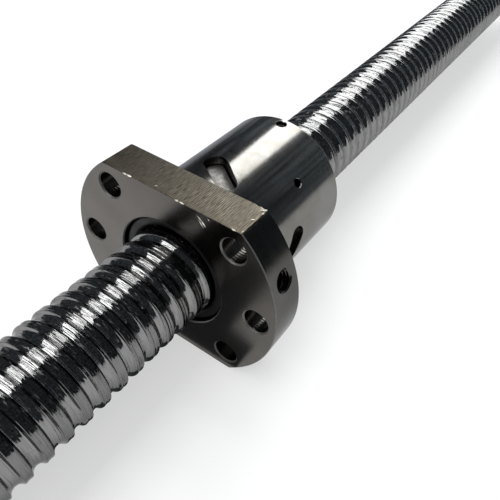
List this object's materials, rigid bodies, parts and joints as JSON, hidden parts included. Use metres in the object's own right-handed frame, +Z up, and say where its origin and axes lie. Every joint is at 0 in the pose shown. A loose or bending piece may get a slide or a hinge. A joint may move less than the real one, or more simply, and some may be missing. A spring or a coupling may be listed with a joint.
{
  "type": "ball screw",
  "caption": "Right-hand ball screw with a flanged single nut, internal ball return, wiper rings and machined journals.",
  "frame": {"origin": "on the screw's axis, halfway along the screw's whole length", "axes": "+X along the screw from its drive end to its support end, +Z up out of the flange's top flat"},
  "size_m": [0.482, 0.062, 0.048],
  "materials": {
    "screw_steel": "ground and polished bearing steel, bright",
    "nut_steel": "ground steel, satin, with milled flats",
    "wiper_plastic": "black plastic, satin",
    "deflector_steel": "matt pressed steel",
    "ball_steel": "polished",
    "grub_steel": "blackened steel"
  },
  "bodies": {
    "screw": {"screw_shaft": "screw_steel"},
    "wipers": {"wiper_front": "wiper_plastic", "wiper_rear": "wiper_plastic"},
    "nut": {"nut_body": "nut_steel", "deflector_1": "deflector_steel", "deflector_2": "deflector_steel", "deflector_3": "deflector_steel", "deflector_4": "deflector_steel", "loaded_balls_1": "ball_steel", "loaded_balls_2": "ball_steel", "loaded_balls_3": "ball_steel", "loaded_balls_4": "ball_steel", "return_balls_1": "ball_steel", "return_balls_2": "ball_steel", "return_balls_3": "ball_steel", "return_balls_4": "ball_steel", "grub_screw_front": "grub_steel", "grub_screw_rear_top": "grub_steel", "grub_screw_rear_bottom": "grub_steel"}
  },
  "joints": [
    {"name": "nut_travel", "type": "slide", "parent": "screw", "child": "wipers", "axis": [1, 0, 0], "range_m": [-0.0765, 0.2465]},
    {"name": "nut_turn", "type": "hinge", "parent": "wipers", "child": "nut", "pos_m": [-0.077, 0, 0], "axis": [1, 0, 0], "range_deg": [-5490, 17730]}
  ],
  "couplings": [
    {"joint": "nut_travel", "follows": "nut_turn", "m_per_rad": 0.00079577}
  ]
}
